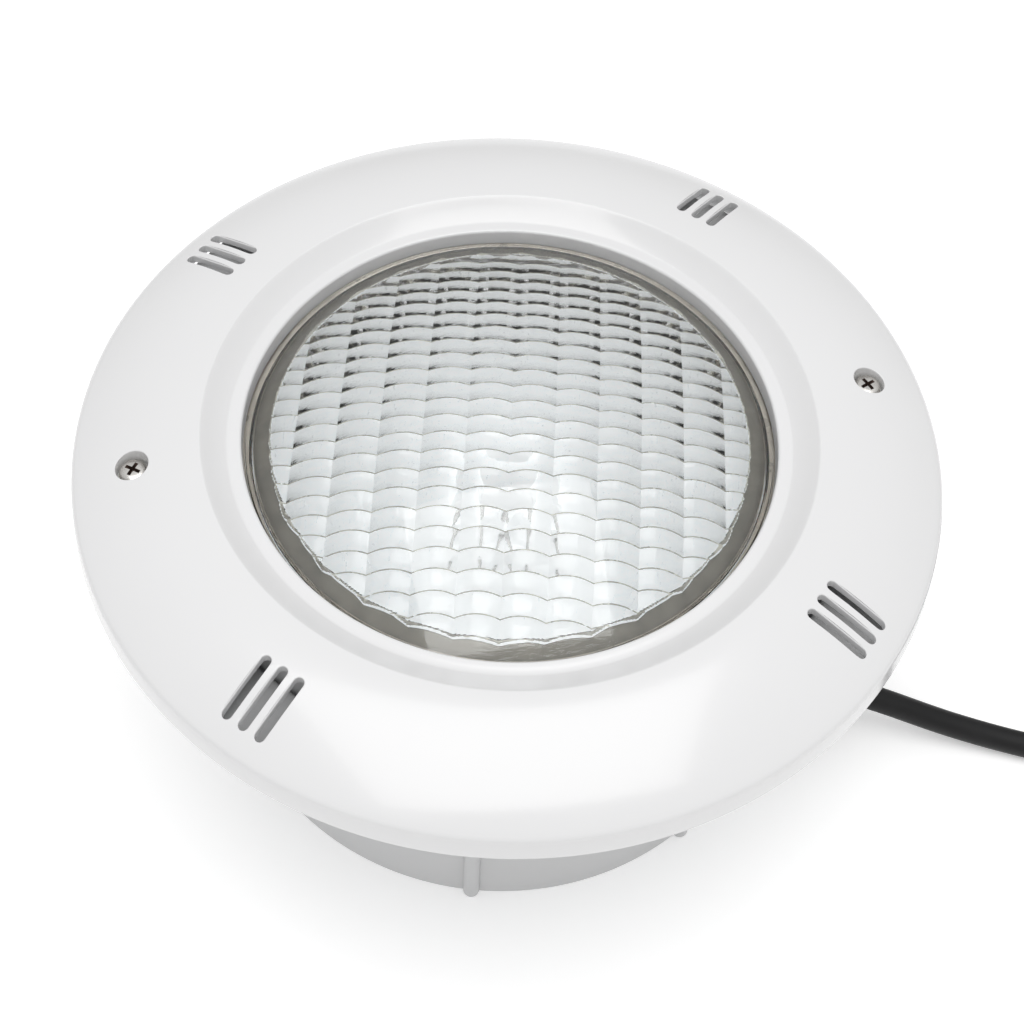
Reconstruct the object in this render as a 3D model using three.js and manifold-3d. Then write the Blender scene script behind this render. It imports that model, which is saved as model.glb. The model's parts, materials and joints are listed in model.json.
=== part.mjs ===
// Underwater pool light: a sealed-beam lamp in a round faceplate, screwed into a moulded wall niche.
// Millimetres, +Z out of the pool wall along the beam. The origin is the middle of the niche's flat base.

import * as THREE from "three";
import { mergeVertices } from "three/addons/utils/BufferGeometryUtils.js";
import Module from "manifold-3d";

const wasm = await Module();
wasm.setup();

// ---- driving dimensions ----

const GAP = 0.3; // running or seating clearance between separate pieces

const FACE_RADIUS = 140;
const RIM_BASE = 124; // height of the faceplate's lower edge
const CREST_RADIUS = 98;
const CREST_TOP = 143.8;
const OPENING_RADIUS = 85.5;
const LIP_TOP = 138.6;
const LIP_BASE = 132.8;
const SHELL_WALL = 2.7;

const SLOT_RADII = [111.2, 131.8]; // inner and outer end of each water slot
const SLOT_WIDTH = 3.2;
const SLOT_PITCH = 6;
const SLOT_GROUP_ANGLES = [45, 135, 225, 315];

const SCREW_RADIUS = 119.2; // faceplate screws, from the light's axis
const SCREW_SEAT = 135;
const SCREW_TIP = 114.5;

const LAMP_RADIUS = 89; // a 178 mm sealed-beam lamp
const LENS_TOP = 154.4;
const LENS_SPHERE = 183;
const LENS_WALL = 3.6;
const DOME_RADIUS = 84.6;
const REFLECTOR_VERTEX = 66;
const REFLECTOR_MOUTH = 82.5;
const TERMINAL_BASE = 40.4; // a sealed-beam lamp of this size is 114 mm long

const CLAMP_SCREW_RADIUS = 98.5;
const CLAMP_ANGLES = [20, 110, 200, 290];
const CLAMP_TOP = 123.7;
const CLAMP_BASE = 120.2;

const NICHE_RADIUS = 103.3;
const NICHE_WALL = 3.3;
const FLANGE_TOP = 128;
const FLANGE_BASE = 124.3;
const FLANGE_RADIUS = 134.4;
const RIB_RADIUS = 2.9;
const RIB_ANGLES = [30, 75, 120, 165, 210, 255, 300]; // the cable outlet takes the eighth place

const GLAND_ANGLE = -22.5;
const GLAND_HEIGHT = 18;
const THREAD_RADIUS = 10; // M20 gland
const GLAND_HEX = 15.6; // corner radius of a 27 mm hexagon

const CABLE_RADIUS = 4.75;
const CORE_RADIUS = 1.7;
const COIL_CENTRE = [279.8, -50.9];
const COIL_RADII = [31.8, 70.3];
const COIL_HEIGHTS = [1.5, 20.7];
const TIE_THICKNESS = 1.2;
const TIE_WIDTH = 5;
const TIE_ANGLES = [10, 190];

const FINE = 44; // facets round the large mouldings
const ROUND = 32;
const SMALL = 10;

// ---- finishes ----

const FINISH = {
  whiteAbs: { color: 0xefeff0, roughness: 0.22, metalness: 0 },
  greyAbs: { color: 0xc9cbcc, roughness: 0.42, metalness: 0 },
  darkAbs: { color: 0x3b3d40, roughness: 0.5, metalness: 0 },
  glass: { color: 0xe6eeea, roughness: 0.05, metalness: 0 },
  mirror: { color: 0xd9dcde, roughness: 0.12, metalness: 1 },
  silicone: { color: 0xd2d4d2, roughness: 0.6, metalness: 0 },
  rubber: { color: 0x17181a, roughness: 0.7, metalness: 0 },
  steel: { color: 0xb4b6b8, roughness: 0.28, metalness: 1 },
  brass: { color: 0xb5974f, roughness: 0.32, metalness: 1 },
  tungsten: { color: 0x6d6f72, roughness: 0.45, metalness: 1 },
  nylon: { color: 0xe4e2da, roughness: 0.5, metalness: 0 },
  brown: { color: 0x5b3320, roughness: 0.45, metalness: 0 },
  blue: { color: 0x1d4f9e, roughness: 0.45, metalness: 0 },
};

const light = new THREE.Group();

function add(name, geometry, finish, parent = light) {
  const mesh = new THREE.Mesh(geometry, new THREE.MeshStandardMaterial(FINISH[finish]));
  mesh.name = name;
  parent.add(mesh);
  return mesh;
}

// ---- solids ----

const radians = THREE.MathUtils.degToRad;

function polar(radius, degrees, height = 0) {
  const angle = radians(degrees);
  return new THREE.Vector3(radius * Math.cos(angle), radius * Math.sin(angle), height);
}

// Merges a geometry's shared vertices, drops its collapsed triangles and turns its faces outwards.
function closed(geometry) {
  geometry.deleteAttribute("normal");
  geometry.deleteAttribute("uv");
  const merged = mergeVertices(geometry, 1e-4);
  const index = merged.index.array;
  const position = merged.attributes.position;
  const corner = [0, 1, 2].map(() => new THREE.Vector3());
  const kept = [];
  let volume = 0;
  for (let i = 0; i < index.length; i += 3) {
    const [a, b, c] = [index[i], index[i + 1], index[i + 2]];
    if (a === b || b === c || c === a) continue;
    kept.push(a, b, c);
    [a, b, c].forEach((vertex, k) => corner[k].fromBufferAttribute(position, vertex));
    volume += corner[0].dot(corner[1].cross(corner[2]));
  }
  if (volume < 0) kept.reverse();
  merged.setIndex(kept);
  return merged;
}

function toManifold(geometry) {
  const solid = closed(geometry);
  const mesh = new wasm.Mesh({
    numProp: 3,
    vertProperties: new Float32Array(solid.attributes.position.array),
    triVerts: new Uint32Array(solid.index.array),
  });
  return new wasm.Manifold(mesh);
}

function toGeometry(manifold) {
  const mesh = manifold.getMesh();
  const geometry = new THREE.BufferGeometry();
  geometry.setAttribute("position", new THREE.BufferAttribute(new Float32Array(mesh.vertProperties), 3));
  geometry.setIndex(Array.from(mesh.triVerts));
  return geometry;
}

// Joins the additions to a base solid and then takes the cuts out of it.
function combine(base, additions, cuts = []) {
  let result = toManifold(base);
  for (const piece of additions) result = result.add(toManifold(piece));
  for (const piece of cuts) result = result.subtract(toManifold(piece));
  return toGeometry(result);
}

// Turns an outline of [radius, height] points about Z. One that doesn't start on the axis is a ring.
function revolve(outline, facets = ROUND) {
  const ring = outline[0][0] > 0;
  const points = (ring ? [...outline, outline[0]] : outline).map(([r, z]) => new THREE.Vector2(r, z));
  return closed(new THREE.LatheGeometry(points, facets).rotateX(Math.PI / 2));
}

function ringOutline(inner, outer, base, top) {
  return [[inner, base], [outer, base], [outer, top], [inner, top]];
}

function rodOutline(radius, base, top) {
  return [[0, base], [radius, base], [radius, top], [0, top]];
}

// Points of a shallow arc between two outline points, bulging to the left of the way from one to the other.
function arc(from, to, bulge, steps) {
  const [dx, dz] = [to[0] - from[0], to[1] - from[1]];
  const span = Math.hypot(dx, dz);
  const points = [];
  for (let i = 0; i <= steps; i++) {
    const t = i / steps;
    const rise = 4 * bulge * t * (1 - t) / span;
    points.push([from[0] + dx * t - dz * rise, from[1] + dz * t + dx * rise]);
  }
  return points;
}

function hexagon(radius, hole, depth, facets = 8) {
  const shape = new THREE.Shape();
  for (let i = 0; i < 6; i++) {
    const corner = polar(radius, 60 * i + 30);
    if (i === 0) shape.moveTo(corner.x, corner.y);
    else shape.lineTo(corner.x, corner.y);
  }
  shape.closePath();
  const bore = new THREE.Path().absarc(0, 0, hole, 0, 2 * Math.PI, true);
  if (hole > 0) shape.holes.push(bore);
  return new THREE.ExtrudeGeometry(shape, { depth, bevelEnabled: false, curveSegments: facets });
}

// A round-ended slot that stands up from z = 0, running along X between the two given ends.
function slotPrism(inner, outer, width, depth) {
  const half = width / 2;
  const shape = new THREE.Shape();
  shape.absarc(outer - half, 0, half, -Math.PI / 2, Math.PI / 2);
  shape.absarc(inner + half, 0, half, Math.PI / 2, 1.5 * Math.PI);
  return new THREE.ExtrudeGeometry(shape, { depth, bevelEnabled: false, curveSegments: 4 });
}

// A round bar along a smooth route.
function tube(route, radius, steps, sides = 10) {
  const section = new THREE.Shape();
  for (let i = 0; i < sides; i++) {
    const corner = polar(radius, (360 * i) / sides);
    if (i === 0) section.moveTo(corner.x, corner.y);
    else section.lineTo(corner.x, corner.y);
  }
  section.closePath();
  const path = new THREE.CatmullRomCurve3(route, false, "centripetal");
  return closed(new THREE.ExtrudeGeometry(section, { steps, extrudePath: path, bevelEnabled: false }));
}

// Lays a solid modelled along +Z on the cable outlet's axis, with its z measured from the light's axis.
function alongOutlet(geometry) {
  return geometry
    .rotateY(Math.PI / 2)
    .rotateZ(radians(GLAND_ANGLE))
    .translate(0, 0, GLAND_HEIGHT);
}

// ---- faceplate ----

function faceplate() {
  const outline = [
    [FACE_RADIUS - SHELL_WALL, RIM_BASE],
    [FACE_RADIUS, RIM_BASE],
    [FACE_RADIUS - 0.8, RIM_BASE + 7.6],
    [FACE_RADIUS - 1.4, RIM_BASE + 9],
    ...arc([FACE_RADIUS - 2.4, RIM_BASE + 9.9], [CREST_RADIUS, CREST_TOP], -2.2, 6),
    ...arc([CREST_RADIUS - 0.9, CREST_TOP - 0.6], [90.2, LIP_TOP - 0.3], 0.6, 2),
    [89.2, LIP_TOP - 0.5],
    [OPENING_RADIUS + 1, LIP_TOP],
    [OPENING_RADIUS + 0.3, LIP_TOP - 0.3],
    [OPENING_RADIUS, LIP_TOP - 1],
    [OPENING_RADIUS, LIP_BASE],
    [93, LIP_BASE],
    [93.6, LIP_BASE + 3.8],
    ...arc([CREST_RADIUS + 1.2, CREST_TOP - 3.1], [FACE_RADIUS - 4.6, RIM_BASE + 7.8], 2, 3),
    [FACE_RADIUS - 3.1, RIM_BASE + 6.2],
  ];
  const additions = [];
  const cuts = [];
  for (const side of [0, 180]) {
    const { x, y } = polar(SCREW_RADIUS, side);
    const at = (solid) => solid.translate(x, y, 0);
    additions.push(at(revolve(rodOutline(7.5, FLANGE_TOP + 2 * GAP, SCREW_SEAT + 3.4), SMALL)));
    cuts.push(at(revolve(rodOutline(5.3, SCREW_SEAT, CREST_TOP + 5), SMALL * 2)));
    cuts.push(at(revolve(rodOutline(2.8, RIM_BASE, SCREW_SEAT + 1), SMALL)));
  }
  for (const angle of CLAMP_ANGLES) {
    const { x, y } = polar(CLAMP_SCREW_RADIUS, angle);
    additions.push(revolve(rodOutline(3.6, CLAMP_TOP + GAP, CREST_TOP - 3.2), 10).translate(x, y, 0));
    cuts.push(revolve(rodOutline(2.1, CLAMP_TOP - 1, CLAMP_TOP + 12), 8).translate(x, y, 0));
  }
  for (const angle of SLOT_GROUP_ANGLES) {
    for (const place of [-1, 0, 1]) {
      const slot = slotPrism(SLOT_RADII[0], SLOT_RADII[1], SLOT_WIDTH, 30);
      cuts.push(slot.translate(0, place * SLOT_PITCH, RIM_BASE).rotateZ(radians(angle)));
    }
  }
  return combine(revolve(outline, FINE), additions, cuts);
}

// A pan-head screw with a cross recess, its head's underside at z = 0.
function panScrew(headRadius, headHeight, shankRadius, shankLength) {
  const outline = [
    [0, -shankLength],
    [shankRadius, -shankLength + shankRadius],
    [shankRadius, 0],
    [headRadius, 0],
    [headRadius, headHeight * 0.45],
    [headRadius * 0.78, headHeight * 0.86],
    [0, headHeight],
  ];
  const blade = headRadius * 1.05;
  const depth = headHeight * 0.75;
  const recess = [0, 1].map((turn) =>
    new THREE.BoxGeometry(blade, headRadius * 0.2, depth)
      .rotateZ((turn * Math.PI) / 2)
      .translate(0, 0, headHeight - depth / 2 + 0.2));
  return combine(revolve(outline, SMALL), [], recess);
}

function faceplateFasteners() {
  for (const [side, angle] of [["right", 0], ["left", 180]]) {
    const { x, y } = polar(SCREW_RADIUS, angle);
    const washerBase = SCREW_SEAT + GAP;
    const headBase = washerBase + 0.8 + GAP;
    const screw = panScrew(4.5, 2.4, 2.4, headBase - SCREW_TIP);
    add(`faceplate_screw_${side}`, screw, "steel").position.set(x, y, headBase);
    const washer = revolve(ringOutline(2.7, 4.8, washerBase, washerBase + 0.8), SMALL);
    add(`screw_washer_${side}`, washer, "nylon").position.set(x, y, 0);
    const insert = revolve(ringOutline(2.7, 4, SCREW_TIP - 1.5, FLANGE_TOP - 0.5), SMALL);
    add(`screw_insert_${side}`, insert, "brass").position.set(x, y, 0);
  }
}

// ---- lamp ----

function sphereHeight(sphere, top, radius) {
  return top - sphere + Math.sqrt(sphere * sphere - radius * radius);
}

function lens() {
  const outer = [];
  const inner = [];
  const steps = 6;
  const innerEdge = DOME_RADIUS - 2.4;
  for (let i = 0; i <= steps; i++) {
    const out = DOME_RADIUS * (1 - i / steps);
    outer.push([out, sphereHeight(LENS_SPHERE, LENS_TOP, out)]);
    const within = (innerEdge * i) / steps;
    inner.push([within, sphereHeight(LENS_SPHERE - LENS_WALL, LENS_TOP - LENS_WALL, within)]);
  }
  const edge = [
    [innerEdge, 128.3],
    [LAMP_RADIUS - 0.4, 128.3],
    [LAMP_RADIUS, 128.7],
    [LAMP_RADIUS, 130.7],
    [LAMP_RADIUS - 0.4, 131.1],
    [DOME_RADIUS + 0.5, 131.4],
  ];
  return revolve([...inner, ...edge, ...outer], ROUND);
}

function reflector() {
  const bowlOuter = [];
  const bowlInner = [];
  for (const r of [25, 37, 50, 62, 74, 85.5]) bowlOuter.push([r, 62.4 + (r * r) / 116]);
  const steps = 7;
  const depth = 128 - REFLECTOR_VERTEX;
  for (let i = 0; i <= steps; i++) {
    const r = REFLECTOR_MOUTH * (1 - i / steps);
    bowlInner.push([r, REFLECTOR_VERTEX + depth * (r / REFLECTOR_MOUTH) ** 2]);
  }
  const outline = [
    [0, 60.5],
    [20, 60.5],
    [20, 52.5],
    [24, 52.5],
    [25, 53.5],
    ...bowlOuter,
    [LAMP_RADIUS, 125.4],
    [LAMP_RADIUS, 128],
    ...bowlInner,
  ];
  const postHoles = [9, -9].map((x) => revolve(rodOutline(2.1, 50, 80), 8).translate(x, 0, 0));
  return combine(revolve(outline, ROUND), [], postHoles);
}

function lampGasket() {
  return revolve([
    [91.3, CLAMP_TOP + GAP],
    [91.3, LIP_BASE - GAP],
    [85.8, LIP_BASE - GAP],
    [85.8, 131.7],
    [LAMP_RADIUS + GAP, 131.5],
    [LAMP_RADIUS + GAP, 125.1],
    [85.8, 125.1],
    [85.8, CLAMP_TOP + GAP],
  ]);
}

function burner() {
  for (const [name, x] of [["a", 9], ["b", -9]]) {
    const post = revolve([
      [0, 57.4],
      [1.5, 57.4],
      [1.5, 58.8],
      [4.4, 58.8],
      [4.4, 60.2],
      [1.5, 60.2],
      [1.5, 95],
      [0, 95],
    ], SMALL);
    add(`filament_post_${name}`, post, "tungsten").position.set(x, 0, 0);
  }
  add("filament", revolve(rodOutline(1.7, -7.2, 7.2), 12).rotateY(Math.PI / 2), "tungsten").position.z = 93.4;
  const cup = revolve([[0, 106], [10.5, 106], [12, 102], [12.6, 102], [11.1, 106.8], [0, 106.8]], SMALL * 2);
  const stem = revolve(rodOutline(0.9, 95.3, 106.4), 8).translate(9, 0, 0);
  add("filament_shield", combine(cup, [stem]), "steel");
}

function terminals() {
  for (const [name, x, way] of [["a", 9, 1], ["b", -9, -1]]) {
    const blade = new THREE.BoxGeometry(1.4, 8, 56.6 - TERMINAL_BASE);
    blade.translate(x, 0, (56.6 + TERMINAL_BASE) / 2);
    const foot = new THREE.BoxGeometry(6, 8, 1.2).translate(x - 2.3 * way, 0, 56.5);
    const hole = revolve(rodOutline(2, -4, 4), 12).rotateY(Math.PI / 2).translate(x, 0, 44.6);
    add(`terminal_lug_${name}`, combine(blade, [foot], [hole]), "brass");
    const screw = panScrew(3.4, 2, 1.7, 6).rotateY((way * Math.PI) / 2);
    add(`terminal_screw_${name}`, screw, "steel").position.set(x + way * (0.7 + 0.8 + 2 * GAP), 0, 44.6);
  }
}

function clampRing() {
  const outline = [
    [86.2, CLAMP_BASE],
    [103.2, CLAMP_BASE],
    [103.2, CLAMP_TOP - 0.8],
    [102.4, CLAMP_TOP],
    [86.2, CLAMP_TOP],
  ];
  const holes = CLAMP_ANGLES.map((angle) => {
    const { x, y } = polar(CLAMP_SCREW_RADIUS, angle);
    return revolve(rodOutline(2.1, CLAMP_BASE - 1, CLAMP_TOP + 1), 12).translate(x, y, 0);
  });
  return combine(revolve(outline, FINE), [], holes);
}

function clampScrews() {
  CLAMP_ANGLES.forEach((angle, i) => {
    const { x, y } = polar(CLAMP_SCREW_RADIUS, angle);
    const screw = panScrew(3.6, 2.2, 1.7, 13).rotateX(Math.PI);
    add(`clamp_screw_${i + 1}`, screw, "steel").position.set(x, y, CLAMP_BASE - GAP);
  });
}

// ---- terminal boot and the lead inside the niche ----

const LEAD_HEIGHT = 44.5; // where the lead leaves the boot

// [radius, angle, height] along the lead: out of the boot, once round the well, across to the outlet.
const LEAD_ROUTE = [
  [21, 180, 44.5],
  [30, 180, 44.5],
  [40, 180, 44.5],
  [54, 183, 44.5],
  [66.5, 189, 44.3],
  [77.5, 196.5, 44],
  [85.5, 205, 43.6],
  [90, 213.5, 43.2],
  [92, 224, 42.8],
  [92, 245, 42.1],
  [92, 266, 41.4],
  [92, 287, 40.7],
  [92, 308, 40.1],
  [92, 329, 39.4],
  [92, 350, 37],
  [92, 371, 31],
  [92, 392, 22],
  [92, 411, 14],
  [91.5, 427, 9.5],
  [90, 439, 8.3],
  [85, 450, 8.2],
  [76.5, 461, 8.2],
  [65, 472.5, 8.2],
  [51, 483.5, 8.2],
  [35, 495, 8.2],
  [18, 506, 8.2],
  [6, 337.5, 8.4],
  [30, 337.5, 11],
  [50, 337.5, 15],
  [67, 337.5, 17.6],
  [84, 337.5, 18],
  [100, 337.5, 18],
  [124.4, 337.5, 18],
];

function boot() {
  const cup = revolve([
    [0, 34],
    [25.6, 34],
    [28, 36.4],
    [28, 66],
    [25.3, 66],
    [25.3, 53],
    [24, 51.6],
    [24, 37],
    [0, 37],
  ], ROUND);
  const spout = revolve([[0, 25], [8.4, 25], [7.6, 40], [0, 40]], SMALL);
  const bore = revolve(rodOutline(5.1, 20, 42), SMALL);
  const outward = (solid) => solid.rotateY(-Math.PI / 2).translate(0, 0, LEAD_HEIGHT);
  return combine(cup, [outward(spout)], [outward(bore)]);
}

function bootClamp() {
  const band = revolve(ringOutline(28.3, 29.1, 55.5, 64.5), ROUND);
  const housing = new THREE.BoxGeometry(13, 7.5, 7).translate(0, 32.4, 60);
  const channel = revolve(rodOutline(2.9, -10, 10), SMALL).rotateY(Math.PI / 2).translate(0, 33, 60);
  add("boot_clamp_band", combine(band, [housing], [channel]), "steel");
  const screw = panScrew(3.4, 3, 2.6, 12).rotateY(Math.PI / 2);
  add("boot_clamp_screw", screw, "steel").position.set(6.8, 33, 60);
}

function innerLead() {
  const route = LEAD_ROUTE.map(([r, angle, z]) => polar(r, angle, z));
  add("inner_lead", tube(route, CABLE_RADIUS, 36, 8), "rubber");
  for (const [name, x, way] of [["brown", 9, 1], ["blue", -9, -1]]) {
    const face = x + way * (0.7 + GAP + 0.4);
    const ends = way > 0
      ? [[-19.4, 2.2, 44.5], [-16.6, 5, 44], [-9, 13, 42], [3, 15.5, 41.2], [face, 12, 42.8], [face, 7, 44.6]]
      : [[-19.4, -2.2, 44.5], [-17, -5.6, 44.5], [-13.6, -10.2, 44.5], [face, -10, 44.6], [face, -7, 44.6]];
    const wire = tube(ends.map((point) => new THREE.Vector3(...point)), CORE_RADIUS, 9, 8);
    add(`inner_core_${name}`, wire, name);
    const eye = revolve(ringOutline(2.1, 3.9, -0.4, 0.4), SMALL).rotateY(Math.PI / 2);
    const barrel = new THREE.BoxGeometry(0.8, 3, 3).translate(0, way > 0 ? 4.7 : -4.7, 0);
    add(`ring_terminal_${name}`, combine(eye, [barrel]), "steel").position.set(face, 0, 44.6);
  }
}

// ---- niche ----

function nicheBody() {
  const inside = NICHE_RADIUS - NICHE_WALL;
  const outline = [
    [0, 0],
    [NICHE_RADIUS - 1.5, 0],
    [NICHE_RADIUS, 1.5],
    [NICHE_RADIUS, 104],
    [114, 119.5],
    [114.6, FLANGE_BASE],
    [FLANGE_RADIUS - 0.6, FLANGE_BASE],
    [FLANGE_RADIUS, FLANGE_BASE + 0.6],
    [FLANGE_RADIUS, FLANGE_TOP - 0.6],
    [FLANGE_RADIUS - 0.6, FLANGE_TOP],
    [112, FLANGE_TOP],
    [111, FLANGE_TOP - 1],
    [110.4, 120.5],
    [inside, 105],
    [inside - 0.4, 4.2],
    [inside - 1.6, 3],
    [0, 3],
  ];
  const ribTop = FLANGE_BASE + 0.5;
  const rib = [
    [0, 0],
    [RIB_RADIUS * 0.5, RIB_RADIUS * 0.13],
    [RIB_RADIUS * 0.87, RIB_RADIUS * 0.5],
    [RIB_RADIUS, RIB_RADIUS],
    [RIB_RADIUS, 110],
    [0, 110],
  ];
  const web = [[101.5, 105], [104, 105], [131, FLANGE_BASE - 2], [131, ribTop], [112, ribTop]];
  const additions = [];
  const cuts = [];
  for (const angle of RIB_ANGLES) {
    const { x, y } = polar(NICHE_RADIUS, angle);
    additions.push(revolve(rib, 10).translate(x, y, 0));
    const shape = new THREE.Shape(web.map(([r, z]) => new THREE.Vector2(r, z)));
    const plate = new THREE.ExtrudeGeometry(shape, { depth: 2.6, bevelEnabled: false });
    additions.push(plate.rotateX(Math.PI / 2).translate(0, 1.3, 0).rotateZ(radians(angle)));
  }
  for (const side of [0, 180]) {
    const { x, y } = polar(SCREW_RADIUS, side);
    additions.push(revolve(rodOutline(7.2, 104, ribTop), SMALL).translate(x, y, 0));
    cuts.push(revolve(rodOutline(4 + GAP, SCREW_TIP - 2, FLANGE_TOP + 1), SMALL).translate(x, y, 0));
  }
  additions.push(alongOutlet(revolve(rodOutline(15, 93.5, 109.5), 20)));
  cuts.push(alongOutlet(revolve(rodOutline(THREAD_RADIUS + GAP, 90, 112), 16)));
  for (const angle of SLOT_GROUP_ANGLES) {
    const { x, y } = polar(70, angle);
    cuts.push(revolve(rodOutline(3, -1, 5), 10).translate(x, y, 0));
  }
  return combine(revolve(outline, FINE), additions, cuts);
}

function gland() {
  const body = revolve([
    [5.2, 86],
    [THREAD_RADIUS - 0.6, 86],
    [THREAD_RADIUS, 86.8],
    [THREAD_RADIUS, 124.4],
    [THREAD_RADIUS - 0.6, 125],
    [8, 125],
    [8, 117.8],
    [5.2, 117.8],
  ], 16);
  const collar = hexagon(GLAND_HEX, THREAD_RADIUS - 1, 6).translate(0, 0, 111.6);
  add("gland_body", alongOutlet(combine(body, [collar])), "darkAbs");
  const washer = revolve(ringOutline(THREAD_RADIUS + GAP, 14.4, 109.8, 111.3), 16);
  add("gland_washer", alongOutlet(washer), "rubber");
  const locknut = hexagon(GLAND_HEX, THREAD_RADIUS + GAP, 6).translate(0, 0, 87.2);
  add("gland_locknut", alongOutlet(closed(locknut)), "darkAbs");
  const seal = revolve([[5.1, 118.1], [7.6, 118.1], [7.6, 124], [6.9, 126], [5.1, 126]], SMALL);
  add("gland_seal", alongOutlet(seal), "rubber");
  const slip = revolve(ringOutline(5.3, 9.6, 126.3, 127.5), SMALL);
  add("gland_slip_ring", alongOutlet(slip), "nylon");
  const skirt = hexagon(GLAND_HEX, THREAD_RADIUS + GAP, 9.4).translate(0, 0, 118.4);
  const dome = revolve([
    [5.4, 127.8],
    [THREAD_RADIUS + GAP, 127.8],
    [THREAD_RADIUS + GAP, 126],
    [13.4, 126],
    [13.1, 129.5],
    [11, 132.8],
    [8.6, 134],
    [5.4, 134],
  ], 16);
  add("gland_cap_nut", alongOutlet(combine(skirt, [dome])), "darkAbs");
}

// ---- outside cable ----

// The cable's route from inside the cap nut, down to the floor and out to its coil.
const CABLE_ROUTE = [
  [115.2, -47.7, 18],
  [123.8, -51.3, 18],
  [128.5, -53.2, 17.7],
  [135.5, -56.1, 15.6],
  [142.5, -58.6, 12],
  [149.5, -60.8, 8.6],
  [157, -63.3, 6.2],
  [165.5, -66.3, 5.1],
  [175.5, -70.8, 4.8],
  [186, -75.8, 4.8],
  [200, -82.6, 5],
  [216, -90.4, 5.5],
  [232, -98.3, 6.1],
  [246, -105.2, 6.3],
];

// The free end comes off the top of the coil and lies against its side.
const TAIL_ROUTE = [
  [332.2, -10, 15.8],
  [327.7, -1.3, 14.6],
  [322.4, 7.8, 11.2],
  [315, 15.3, 7.2],
  [305.6, 20, 5.2],
  [294.2, 23.5, 4.8],
  [282.5, 25.1, 4.8],
];

const CORE_ENDS = {
  brown: [[281.2, 27, 4.6], [275, 28.2, 3.6], [266, 29.6, 2.1], [257, 29.8, 1.9], [249, 28.4, 1.9]],
  blue: [[281.2, 23.2, 4.6], [275, 22.6, 3.6], [266, 22.4, 2.1], [258, 21, 1.9], [250.5, 18.6, 1.9]],
};

function coilOutline(growth) {
  const [inner, outer] = [COIL_RADII[0] - growth, COIL_RADII[1] + growth];
  const [base, top] = [COIL_HEIGHTS[0] - growth, COIL_HEIGHTS[1] + growth];
  const round = 2.5;
  return [
    [inner, base + round],
    [inner + round, base],
    [outer - round, base],
    [outer, base + round],
    [outer, top - round],
    [outer - round, top],
    [inner + round, top],
    [inner, top - round],
  ];
}

function cable() {
  const [x, y] = COIL_CENTRE;
  const clear = () => revolve(coilOutline(GAP), ROUND).translate(x, y, 0);
  const points = (list) => list.map((point) => new THREE.Vector3(...point));
  add("cable_run", combine(tube(points(CABLE_ROUTE), CABLE_RADIUS, 14), [], [clear()]), "rubber");
  add("cable_tail", combine(tube(points(TAIL_ROUTE), CABLE_RADIUS, 8), [], [clear()]), "rubber");
  add("cable_coil", revolve(coilOutline(0), ROUND), "rubber").position.set(x, y, 0);
  for (const [name, route] of Object.entries(CORE_ENDS)) {
    const wire = points(route);
    add(`end_core_${name}`, tube(wire, CORE_RADIUS, 8, 8), name);
    const tip = wire.at(-1);
    const way = tip.clone().sub(wire.at(-2)).normalize();
    const ferrule = revolve([[0, 0], [1.9, 0], [1.9, 2.4], [1.1, 3.6], [1.1, 12], [0, 12]], SMALL);
    const mesh = add(`end_ferrule_${name}`, ferrule, "steel");
    mesh.position.copy(tip).addScaledVector(way, GAP);
    mesh.quaternion.setFromUnitVectors(new THREE.Vector3(0, 0, 1), way);
  }
}

function coilTies() {
  const [inner, outer] = [COIL_RADII[0] - GAP, COIL_RADII[1] + GAP];
  const [base, top] = [COIL_HEIGHTS[0] - GAP, COIL_HEIGHTS[1] + GAP];
  const length = outer - inner;
  const height = top - base;
  TIE_ANGLES.forEach((angle, i) => {
    const band = new THREE.BoxGeometry(length + 2 * TIE_THICKNESS, TIE_WIDTH, height + 2 * TIE_THICKNESS);
    const window = new THREE.BoxGeometry(length, TIE_WIDTH + 2, height);
    const head = new THREE.BoxGeometry(8, 7.5, 4.5).translate(0, 0, height / 2 + TIE_THICKNESS + 1.5);
    const tie = combine(band, [head], [window]).translate((inner + outer) / 2, 0, (base + top) / 2);
    add(`coil_tie_${i + 1}`, tie.rotateZ(radians(angle)), "nylon").position.set(...COIL_CENTRE, 0);
  });
}

// ---- assembly ----

add("niche_body", nicheBody(), "greyAbs");
add("faceplate", faceplate(), "whiteAbs");
faceplateFasteners();
add("lamp_gasket", lampGasket(), "silicone");
add("lamp_lens", lens(), "glass");
add("lamp_reflector", reflector(), "mirror");
burner();
terminals();
add("lamp_clamp_ring", clampRing(), "greyAbs");
clampScrews();
add("terminal_boot", boot(), "rubber");
bootClamp();
innerLead();
gland();
cable();
coilTies();

export default light;
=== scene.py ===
import json
import math

import bmesh
import bpy
import numpy as np
from mathutils import Matrix, Vector
from mathutils.geometry import delaunay_2d_cdt


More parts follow.
